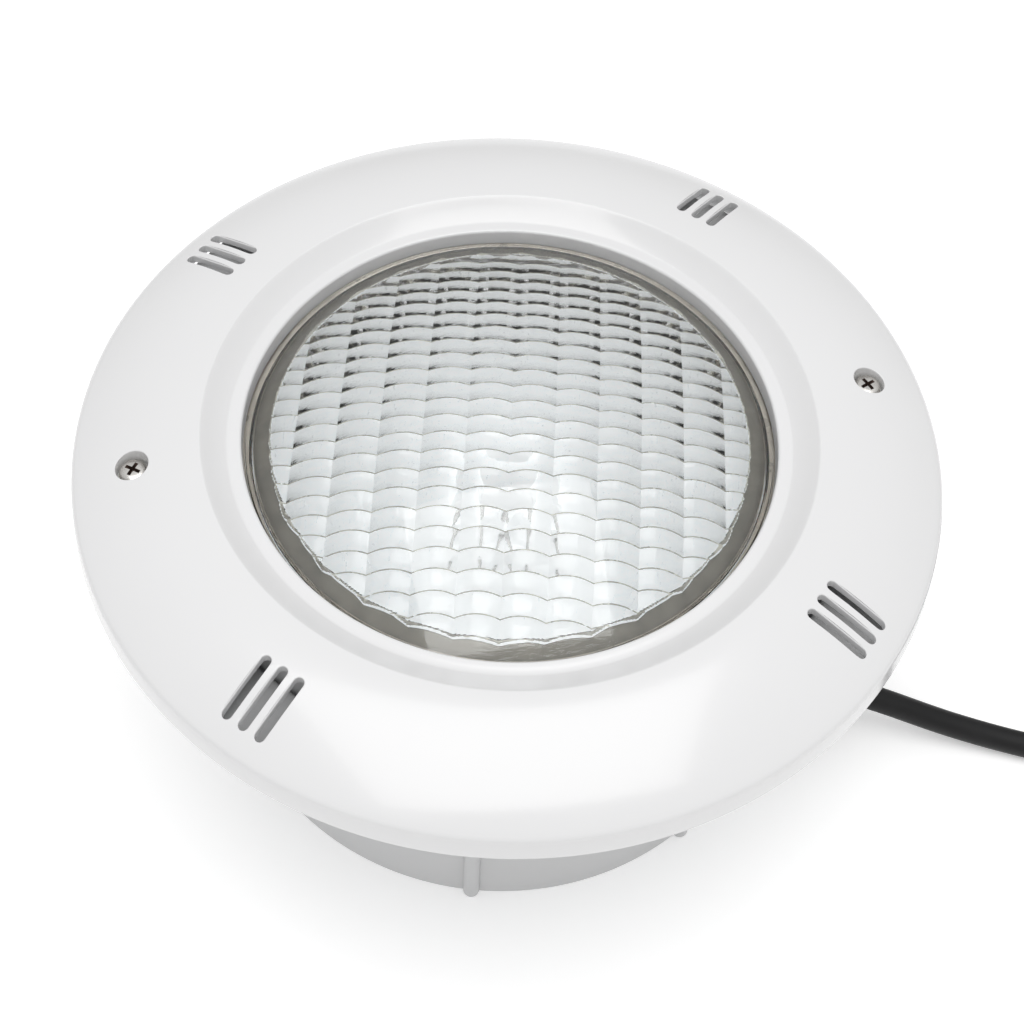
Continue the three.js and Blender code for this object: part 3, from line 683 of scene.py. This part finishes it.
def lens():
    segments = 256
    outline = [(DOME * math.sin(0.5 * math.pi * k / 30), 0) for k in range(31)]
    outline = [(r, LENS_TOP - DOME_SPHERE + math.sqrt(DOME_SPHERE ** 2 - r * r)) for r, z in outline]
    bore_top = float(inner_height(np.array([LENS_BORE]), np.array([0.0]))[0])
    flange = LENS_LOW.z
    outline += [(DOME + 0.25, LENS_TOP - 21.9), (DOME + 0.5, flange + 3.4), (DOME + 1.1, flange + 3.0),
                (LAMP - 0.4, flange + 2.8), (LAMP, flange + 2.4), (LAMP, flange + 0.4), (LAMP - 0.4, flange),
                (LENS_BORE + 0.5, flange), (LENS_BORE, flange + 0.5), (LENS_BORE, bore_top)]
    count = len(outline)
    points, faces = [], []
    for s in range(segments):
        a = 2 * math.pi * s / segments
        points += [(r * math.cos(a), r * math.sin(a), z) for r, z in outline]
    for s in range(segments):
        here, there = s * count, (s + 1) % segments * count
        faces += [[here + i, here + i + 1, there + i + 1, there + i] for i in range(count - 1)]
    angles = 2 * math.pi * np.arange(segments) / segments
    rim = np.stack([LENS_BORE * np.cos(angles), LENS_BORE * np.sin(angles)], 1)
    flat = np.concatenate([rim, pattern_points()])
    flat, _, triangles, *_ = delaunay_2d_cdt([Vector(p) for p in flat], [], [], 0, 1e-6)
    flat = np.array([tuple(p) for p in flat])
    heights = inner_height(flat[:, 0], flat[:, 1])
    first = len(points)
    points += [(*p, h) for p, h in zip(flat.tolist(), heights.tolist())]
    faces += [[first + i for i in triangle] for triangle in triangles]
    piece = solid(points, faces)
    place(piece, "lamp_lens", "lamp_unit", [GLASS, PRISM_GLASS, SHADED_RISER_GLASS], sharp=14)
    centres = np.empty(3 * len(piece.data.polygons))
    piece.data.polygons.foreach_get("center", centres)
    x, y, z = centres.reshape(-1, 3).T / MM
    r = np.minimum(np.hypot(x, y), DOME)
    inside = (r < LENS_BORE) & (z < LENS_TOP - DOME_SPHERE + np.sqrt(INNER_SPHERE ** 2 - r * r) + 0.5)
    # Risers, and the faces where the pattern slopes away at its edge, take the olive glass: painted shade
    # lines.
    painted_shade_faces = inside & (r < PATTERN_EDGE + 1) & (cell_place(x, y)[1] > 1 - RISER / ROW)
    ending = LENS_TOP - DOME_SPHERE + np.sqrt(INNER_SPHERE ** 2 - r * r) - inner_height(x, y) > 0.02
    painted_shade_faces |= inside & (r > PATTERN_EDGE + 0.3) & ending
    piece.data.polygons.foreach_set("material_index", inside.astype(np.int32) + painted_shade_faces)


POST_OFFSET = 9  # of each filament post, from the lamp's axis


def reflector():
    vertex = REFLECTOR_LOW.z + 13.5
    depth = REFLECTOR_HIGH.z - vertex
    bowl = [(MOUTH * (1 - k / 48), vertex + depth * (1 - k / 48) ** 2) for k in range(49)]
    back = [(r, vertex - 3.6 + r * r / 116) for r in np.linspace(25, 85.5, 24)]
    top = REFLECTOR_HIGH.z
    base = REFLECTOR_LOW.z
    outline = [
        (0, base + 8), (19.4, base + 8), (20, base + 7.4), (20, base + 0.4), (20.4, base), (23.8, base),
        (24.6, base + 0.5), (25, base + 1.3), *back, (LAMP - 0.5, REFLECTOR_HIGH.z - 2.6),
        (LAMP, REFLECTOR_HIGH.z - 2.1), (LAMP, REFLECTOR_HIGH.z - 0.5), (LAMP - 0.5, top), *bowl,
    ]
    shell = lathe(outline, 192)
    seal = lathe([
        (82.4, top - 0.5), (82.0, top + 0.3), (81.9, top + 2.8), (81.6, top + 3.1), (79.5, top + 4.1),
        (77.6, top + 4.9), (77.2, top + 4.7), (77.2, top + 4.2), (77.6, top + 3.8), (80.6, top + 2.2),
        (80.9, top + 1.8), (80.9, top + 0.2), (81.4, top - 0.9),
    ], 576, lambda a, r, z: r - 77.2 + pattern_edge(a) if r < 78 else r)
    holes = [moved(lathe(rod_outline(2.1, base - 2, base + 28), 32), shift(x, 0, 0))
             for x in (POST_OFFSET, -POST_OFFSET)]
    combine(shell, [seal], holes)
    # The bowl's finish carries a faint painted glow.
    finishes = [GLOWING_MIRROR, SEAL_METAL, RIM_METAL]
    place(shell, "lamp_reflector", "lamp_unit", finishes, sharp=30)
    for face in shell.data.polygons:
        x, y, z = face.center / MM
        if z > top + 0.05:
            face.material_index = 1 if math.hypot(x, y) < 80.6 else 2
        elif math.hypot(x, y) > MOUTH:
            face.material_index = 2


def burner():
    for name, x in (("a", POST_OFFSET), ("b", -POST_OFFSET)):
        low, high = box(f"filament_post_{name}")
        outline = soften([
            (0, low.z), (1.3, low.z), (1.5, low.z + 0.4), (1.5, low.z + 1.4), (4.4, low.z + 1.4),
            (4.4, low.z + 2.8), (2.6, low.z + 3.4), (1.5, low.z + 4.6), (1.5, high.z - 3),
            (1.1, high.z - 2.4), (1.1, high.z), (0, high.z),
        ], 0.3)
        post = moved(lathe(outline, 32), shift(x, 0, 0))
        place(post, f"filament_post_{name}", "lamp_unit", TUNGSTEN)
    low, high = box("filament")
    centre = (low + high) / 2
    turns = 13
    wire = []
    for k in range(turns * 14 + 1):
        a = 2 * math.pi * k / 14
        wire.append((low.x + 0.5 + (high.x - low.x - 1) * k / (turns * 14), 1.3 * math.sin(a),
                     centre.z - 1.3 * math.cos(a)))
    place(sweep(wire, disc(0.32, 8)), "filament", "lamp_unit", TUNGSTEN)
    low, high = box("filament_shield")
    top = high.z
    rim = top - 4.8
    cup = [(0, top - 0.8), (10.5, top - 0.8), (12, rim), (12.6, rim), (11.1, top), (0, top)]
    cup = lathe(soften(cup, 0.4), 96)
    stem = moved(lathe(soften(rod_outline(0.9, low.z, top - 0.4), 0.2), 24), shift(POST_OFFSET, 0, 0))
    # The shield takes the reflector's finish, faint painted glow and all.
    place(combine(cup, [stem]), "filament_shield", "lamp_unit", GLOWING_MIRROR)


# ---- fasteners ----


def wedge(base, top, base_size, top_size):
    """A four-sided block whose base and top have their own (width, depth)."""
    points = []
    for z, (w, d) in ((base, base_size), (top, top_size)):
        points += [(-w / 2, -d / 2, z), (w / 2, -d / 2, z), (w / 2, d / 2, z), (-w / 2, d / 2, z)]
    sides = [[k, (k + 1) % 4, 4 + (k + 1) % 4, 4 + k] for k in range(4)]
    return solid(points, [[3, 2, 1, 0], [4, 5, 6, 7], *sides])


def thread(pitch, depth, base, top):
    """A shape for lathe() that cuts a right-handed thread into the points between two heights."""
    def shape(angle, r, z):
        if r == 0 or not base <= z <= top:
            return r
        phase = (z / pitch - angle / (2 * math.pi)) % 1
        fade = min(1, (z - base) / pitch, (top - z) / pitch)
        return r - depth * fade * (1 - abs(2 * phase - 1))
    return shape


def pan_screw(head, height, shank, length, pitch=0.8):
    """A pan-head screw with a cross recess, its head's underside at z = 0."""
    steps = round((length - shank) / pitch * 6)
    shaft = [(shank, -length + shank + (length - shank - 0.6) * k / steps) for k in range(steps + 1)]
    crown = [(head * math.cos(a) ** 0.55, height * (0.3 + 0.7 * math.sin(a)))
             for a in np.linspace(0, 1.5, 12)]
    outline = [(0, -length), (shank * 0.3, -length), *shaft, (shank + 0.2, 0), (head - 0.2, 0), (head, 0.2),
               *crown, (0, height)]
    screw = lathe(outline, 40, thread(pitch, 0.28 * pitch, -length + shank, -1.2))
    blade, slim = head * 1.12, head * 0.25
    cuts = []
    for quarter in (0, 90):
        cut = wedge(height * 0.05, height + 0.5, (blade * 0.45, slim * 0.6), (blade * 1.15, slim * 1.15))
        cuts.append(moved(cut, turn(quarter + 32)))
    return combine(screw, [], cuts)


def paint_recess_shade(screw, head, height):
    """Gives the faces inside an upright screw's cross recess a darker steel: painted shade."""
    low = min(v.co.z for v in screw.data.vertices)
    tall = max(v.co.z for v in screw.data.vertices) - low
    screw.data.materials.append(RECESS_PAINTED_SHADE)
    centre = sum((v.co for v in screw.data.vertices), Vector()) / len(screw.data.vertices)
    for face in screw.data.polygons:
        out = math.hypot(face.center.x - centre.x, face.center.y - centre.y) / MM
        depth = (low + tall - face.center.z) / MM
        crown = height * 0.7 * (1 - math.sin(math.acos(min(1, (out / head) ** 1.8))))
        if out < 0.9 * head and crown + 0.1 < depth < height - 0.02:
            face.material_index = 1


def faceplate_fasteners():
    for side, x in (("right", SCREW_PITCH_RADIUS), ("left", -SCREW_PITCH_RADIUS)):
        head = SCREW_SEAT + 1.4
        tip = box(f"faceplate_screw_{side}")[0].z
        screw = moved(pan_screw(4.5, 2.4, 2.4, head - tip), shift(x, 0, head), turn(24 if x < 0 else -9))
        place(screw, f"faceplate_screw_{side}", f"screw_{side}", STEEL, sharp=40)
        paint_recess_shade(screw, 4.5, 2.4)
        outline = soften(ring_outline(2.7, 4.8, SCREW_SEAT + 0.3, SCREW_SEAT + 1.1), 0.25)
        washer = moved(lathe(outline, 48), shift(x, 0, 0))
        place(washer, f"screw_washer_{side}", f"washer_{side}", NYLON)
        low, high = box(f"screw_insert_{side}")
        outline = [(2.7, low.z + 0.3), (3, low.z), (3.5, low.z)]
        for base in (low.z + 0.4, (low.z + high.z) / 2 + 0.6):
            above = base + (high.z - low.z) / 2 - 1.4
            outline += [(3.55, base), (4, base + 0.4), (4, above - 0.4), (3.55, above)]
        outline += [(3.5, high.z), (3, high.z), (2.7, high.z - 0.3)]
        insert = lathe(outline, 144, lambda a, r, z: r - 0.12 * (1 + math.cos(24 * a)) if r > 3.9 else r)
        place(moved(insert, shift(x, 0, 0)), f"screw_insert_{side}", "niche", BRASS, sharp=25)


# ---- the lamp's back ----


def gasket():
    low, high = box("lamp_gasket")
    seat = LENS_LOW.z
    outline = [
        (91.3, low.z), (91.3, low.z + 2), (90.9, low.z + 2.4), (90.9, high.z - 2.4), (91.3, high.z - 2),
        (91.3, high.z), (85.8, high.z), (85.8, seat + 3.4), (LAMP + 0.3, seat + 3.2),
        (LAMP + 0.3, seat - 3.2), (85.8, seat - 3.2), (85.8, low.z),
    ]
    place(lathe(soften(outline, 0.35), 192), "lamp_gasket", "lamp_unit", SILICONE)


def terminals():
    for name, x, way in (("a", 9, 1), ("b", -9, -1)):
        low, high = box(f"terminal_lug_{name}")
        middle = (low.z + high.z - 0.5) / 2
        tall = high.z - 0.5 - low.z
        blade = prism(rectangle(tall, 8, 1.8), -0.7, 0.7, 0.15, [(middle - 44.6, 0, 2)])
        moved(blade, shift(x, 0, middle), turn(90, "Y"))
        foot = moved(prism(rectangle(6, 8, 0.8), high.z - 1.2, high.z, 0.15), shift(x - 2.3 * way, 0, 0))
        lug = combine(blade, [foot])
        place(lug, f"terminal_lug_{name}", "lamp_unit", BRASS)
        screw = moved(pan_screw(3.4, 2, 1.7, 6, 0.7), shift(x + 2.1 * way, 0, 44.6), turn(90 * way, "Y"))
        place(screw, f"terminal_screw_{name}", "lamp_unit", STEEL, sharp=40)


def clamp_ring():
    low, high = box("lamp_clamp_ring")
    outline = soften([
        (86.2, low.z), (89.2, low.z), (89.6, low.z + 0.7), (93.4, low.z + 0.7), (93.8, low.z),
        (103.2, low.z), (103.2, high.z - 0.8), (102.4, high.z), (86.2, high.z),
    ], 0.4)
    holes = []
    for angle in CLAMP_ANGLES:
        hole = lathe(rod_outline(2.1, low.z - 1, high.z + 1), 32)
        holes.append(moved(hole, turn(angle), shift(CLAMP_SCREW_RADIUS, 0, 0)))
    ring = combine(lathe(outline, 192), [], holes)
    place(ring, "lamp_clamp_ring", "lamp_unit", GREY_ABS)
    for i, angle in enumerate(CLAMP_ANGLES):
        screw = pan_screw(3.6, 2.2, 1.7, 13, 0.9)
        moved(screw, turn(angle), shift(CLAMP_SCREW_RADIUS, 0, low.z - 0.3), turn(180, "X"))
        place(screw, f"clamp_screw_{i + 1}", "lamp_unit", STEEL, sharp=40)


LEAD_HEIGHT = 44.5  # where the lead leaves the boot


def boot():
    low, high = box("terminal_boot")
    beads = []
    for z in (low.z + 8, low.z + 12, low.z + 16):
        beads += [(28, z - 1.2), (27.5, z - 0.6), (27.5, z + 0.6), (28, z + 1.2)]
    outline = soften([
        (0, low.z), (23, low.z), (25.6, low.z + 0.3), (27.7, low.z + 2.4), (28, low.z + 5), *beads,
        (28, high.z - 0.8), (27.2, high.z), (25.9, high.z), (25.3, high.z - 0.6), (25.3, 53), (24, 51.6),
        (24, low.z + 4), (23, low.z + 3), (0, low.z + 3),
    ], 0.4)
    cup = lathe(outline, 96)
    rings = []
    for k in range(4):
        at = 29.2 + 2.6 * k
        rings += [(8.6, at), (8.6, at + 1.3), (7.9, at + 1.5), (7.9, at + 2.4)]
    spout = lathe(soften([(0, 25), (8.4, 25), *rings, (7.6, 39.6), (7.2, 40), (0, 40)], 0.3), 64)
    bore = lathe(rod_outline(5.1, 20, 42), 48)
    outward = shift(0, 0, LEAD_HEIGHT) @ turn(-90, "Y")
    rubber = combine(cup, [moved(spout, outward)], [moved(bore, outward)])
    place(rubber, "terminal_boot", "lamp_unit", RUBBER)


def boot_clamp():
    outline = soften(ring_outline(28.3, 29.1, 55.5, 64.5), 0.25)
    band = lathe(outline, 144)
    housing = moved(prism(rectangle(13, 7.5, 1.6), 56.5, 63.5, 0.8), shift(0, 32.4, 0))
    channel = moved(lathe(rod_outline(2.9, -10, 10), 32), shift(0, 33, 60), turn(90, "Y"))
    slots = []
    for k in range(13):
        slot = prism(rectangle(3, 1.1, 0.4), -6, 6)
        slots.append(moved(slot, turn(22 * k - 42), shift(28, 0, 60), turn(90, "Y")))
    band = combine(band, [housing], [channel, *slots])
    place(band, "boot_clamp_band", "lamp_unit", STEEL, sharp=40)
    screw = moved(pan_screw(3.4, 3, 2.6, 12, 1.6), shift(6.8, 33, 60), turn(90, "Y"))
    place(screw, "boot_clamp_screw", "lamp_unit", STEEL, sharp=40)


# Radius, angle and height along the lead: out of the boot, once round the well, across to the outlet.
LEAD_ROUTE = [
    (21, 180, 44.5), (30, 180, 44.5), (40, 180, 44.5), (54, 183, 44.5), (66.5, 189, 44.3), (77.5, 196.5, 44),
    (85.5, 205, 43.6), (90, 213.5, 43.2), (92, 224, 42.8), (92, 245, 42.1), (92, 266, 41.4), (92, 287, 40.7),
    (92, 308, 40.1), (92, 329, 39.4), (92, 350, 37), (92, 371, 31), (92, 392, 22), (92, 411, 14),
    (91.5, 427, 9.5), (90, 439, 8.3), (85, 450, 8.2), (76.5, 461, 8.2), (65, 472.5, 8.2), (51, 483.5, 8.2),
    (35, 495, 8.2), (18, 506, 8.2), (6, 337.5, 8.4), (30, 337.5, 11), (50, 337.5, 15), (67, 337.5, 17.6),
    (84, 337.5, 18), (100, 337.5, 18), (124.4, 337.5, 18),
]


def inner_lead():
    route = [(r * math.cos(math.radians(a)), r * math.sin(math.radians(a)), z) for r, a, z in LEAD_ROUTE]
    lead = sweep(smooth_route(route, 3), disc(CABLE, 24))
    between = ((0, 0, 23.5 * MM), (0, 0, 39.5 * MM))
    place(lead, "inner_lead", ("niche", "lamp_unit"), RUBBER, sharp=50, between=between)
    for name, x, way, material in (("brown", 9, 1, BROWN), ("blue", -9, -1, BLUE)):
        face = x + way * 1.4
        if way > 0:
            ends = [(-19.4, 2.2, 44.5), (-16.6, 5, 44), (-9, 13, 42), (3, 15.5, 41.2), (face, 12, 42.8),
                    (face, 7, 44.6)]
        else:
            ends = [(-19.4, -2.2, 44.5), (-17, -5.6, 44.5), (-13.6, -10.2, 44.5), (face, -10, 44.6),
                    (face, -7, 44.6)]
        core = sweep(smooth_route(ends, 0.8), disc(1.7, 14))
        place(core, f"inner_core_{name}", "lamp_unit", material)
        eye = lathe(soften(ring_outline(2.1, 3.9, -0.4, 0.4), 0.15), 48)
        barrel = moved(prism(rectangle(3, 3, 0.5), -0.4, 0.4, 0.1), shift(0, 4.7 * way, 0))
        eye = moved(combine(eye, [barrel]), shift(face, 0, 44.6), turn(90, "Y"))
        place(eye, f"ring_terminal_{name}", "lamp_unit", STEEL)


# ---- niche ----

NICHE = 103.3
FLANGE_TOP = NICHE_HIGH.z
FLANGE_BASE = FLANGE_TOP - 3.7
FLANGE = 134.4
RIB_ANGLES = (30, 75, 120, 165, 210, 255, 300)


def niche():
    outline = soften([
        (0, 0), (NICHE - 1.5, 0), (NICHE, 1.5), (NICHE, 104), (114, 119.5), (114.6, FLANGE_BASE),
        (FLANGE - 0.6, FLANGE_BASE), (FLANGE, FLANGE_BASE + 0.6), (FLANGE, FLANGE_TOP - 0.6),
        (FLANGE - 0.6, FLANGE_TOP), (112, FLANGE_TOP), (111, FLANGE_TOP - 1), (110.4, 120.5), (100, 105),
        (99.6, 4.2), (98.4, 3), (0, 3),
    ], 1.6, 4)
    body = lathe(outline, 256)
    additions, cuts = [], []
    foot = [(2.9 * math.sin(a), 2.9 * (1 - math.cos(a))) for a in np.linspace(0, math.pi / 2, 10)]
    rib = [*foot, (2.9, 110), (0, 110)]
    web = [(101.5, 105), (104, 105), (131, FLANGE_BASE - 2), (131, FLANGE_BASE + 0.5),
           (112, FLANGE_BASE + 0.5)]
    for angle in RIB_ANGLES:
        additions.append(moved(lathe(rib, 40), turn(angle), shift(NICHE, 0, 0)))
        plate = prism(web, -1.3, 1.3, 0.3)
        additions.append(moved(plate, turn(angle), turn(90, "X")))
    for side in (-1, 1):
        x = side * SCREW_PITCH_RADIUS
        boss = soften(rod_outline(7.2, 104, FLANGE_BASE + 0.5), 1.2)
        additions.append(moved(lathe(boss, 48), shift(x, 0, 0)))
        cuts.append(moved(lathe(rod_outline(4.3, FLANGE_TOP - 15.5, FLANGE_TOP + 1), 48), shift(x, 0, 0)))
    outlet = soften([(0, 93.5), (15, 93.5), (15, 109.5), (0, 109.5)], 0.6)
    additions.append(moved(lathe(outlet, 64), OUTLET))
    cuts.append(moved(lathe(rod_outline(10.3, 90, 112), 48), OUTLET))
    for angle in (45, 135, 225, 315):
        cuts.append(moved(lathe(rod_outline(3, -1, 5), 32), turn(angle), shift(70, 0, 0)))
    combine(body, additions, cuts)
    place(body, "niche_body", "niche", GREY_ABS)


# ---- cable gland ----

HEX = 15.6  # corner radius of a 27 mm hexagon


def hexed(angle, r, z):
    """A shape for lathe() that keeps the points inside the gland's hexagon."""
    beside = (angle + math.pi / 6) % (math.pi / 3) - math.pi / 6
    return min(r, HEX * math.cos(math.pi / 6) / math.cos(beside))


def chamfered(inner, base, top):
    """A nut's outline, its corners bevelled as a turned hexagon's are."""
    drop = 0.9
    return [(inner, base), (HEX * 0.89, base), (HEX, base + drop), (HEX, top - drop),
            (HEX * 0.89, top), (inner, top)]


def gland():
    steps = [(10, 87 + 0.25 * k) for k in range(1, 97)] + [(10, 118 + 0.25 * k) for k in range(26)]
    outline = [(5.2, 86), (9.4, 86), (10, 86.8), *steps, (9.4, 125), (8, 125), (8, 117.8), (5.2, 117.8)]
    core = thread(1.5, 0.5, 86.8, 124.9)
    body = lathe(outline, 96, lambda a, r, z: core(a, r, z) if r > 9.9 else r)
    collar = lathe(chamfered(8.6, 111.6, 117.6), 144, hexed)
    body = moved(combine(body, [collar]), OUTLET)
    place(body, "gland_body", "niche", DARK_NYLON)
    washer = lathe(soften(ring_outline(10.3, 14.4, 109.8, 111.3), 0.35), 64)
    place(moved(washer, OUTLET), "gland_washer", "niche", RUBBER)
    locknut = moved(lathe(chamfered(10.3, 87.2, 93.2), 144, hexed), OUTLET)
    place(locknut, "gland_locknut", "niche", DARK_NYLON)
    seal = lathe(soften([(5.1, 118.1), (7.6, 118.1), (7.6, 124), (6.9, 126), (5.1, 126)], 0.3), 48)
    place(moved(seal, OUTLET), "gland_seal", "niche", RUBBER)
    slip = lathe(soften(ring_outline(5.3, 9.6, 126.3, 127.5), 0.3), 48)
    place(moved(slip, OUTLET), "gland_slip_ring", "slip_ring", NYLON)
    skirt = [(10.3, 118.4), (HEX * 0.89, 118.4), (HEX, 119.3), (HEX, 126), (HEX * 0.9, 127.8)]
    dome = [*arc((13.4, 127.8), (8.6, 134), -1.7, 10), (6.2, 134), (5.4, 133.2), (5.4, 127.8), (10.3, 127.8)]
    nut = moved(lathe([*skirt, *dome], 144, hexed), OUTLET)
    place(nut, "gland_cap_nut", "cap_nut", DARK_NYLON)


# ---- studio ----


def glow(name, spot, size, colour, strength):
    """A soft rectangular light at a spot, aimed at the object."""
    light = bpy.data.lights.new(name, "AREA")
    light.shape = "RECTANGLE"
    light.size, light.size_y = size
    light.energy = strength
    light.color = colour
    lamp = bpy.data.objects.new(name, light)
    lamp.location = spot
    aim = Vector((0, 0, 0.1)) - Vector(spot)
    lamp.rotation_euler = aim.to_track_quat("-Z", "Y").to_euler()
    scene.collection.objects.link(lamp)


def studio():
    world = bpy.data.worlds.new("studio")
    scene.world = world
    world.use_nodes = True
    nodes, links = world.node_tree.nodes, world.node_tree.links
    direction = nodes.new("ShaderNodeTexCoord")
    parts = nodes.new("ShaderNodeSeparateXYZ")
    ramp = nodes.new("ShaderNodeValToRGB")
    links.new(direction.outputs["Generated"], parts.inputs["Vector"])
    links.new(parts.outputs["Z"], ramp.inputs["Fac"])
    links.new(ramp.outputs["Color"], nodes["Background"].inputs["Color"])
    ramp.color_ramp.elements[0].color = (0.34, 0.33, 0.315, 1)
    ramp.color_ramp.elements[1].color = (0.86, 0.87, 0.885, 1)
    glow("softbox", (0, -0.15, 1.5), (1.1, 0.95), (1, 0.99, 0.975), 9.2)
    floor = moved(lathe([(0, -2), (3990, -2), (4000, 0), (0, 0)], 96), shift(0, 0, NICHE_LOW.z - 0.05))
    floor.name = "floor"
    paper = finish("paper", (0.9, 0.9, 0.9), 0.8, 0.05, 0.002, 2)
    paper.node_tree.nodes["Principled BSDF"].inputs["Emission Color"].default_value = (1, 1, 1, 1)
    paper.node_tree.nodes["Principled BSDF"].inputs["Emission Strength"].default_value = 0.3
    floor.data.materials.append(paper)
    scene.view_settings.view_transform = "Standard"


camera()
outside_lead()
faceplate()
faceplate_fasteners()
lens()
reflector()
burner()
gasket()
terminals()
clamp_ring()
boot()
boot_clamp()
inner_lead()
niche()
gland()
studio()
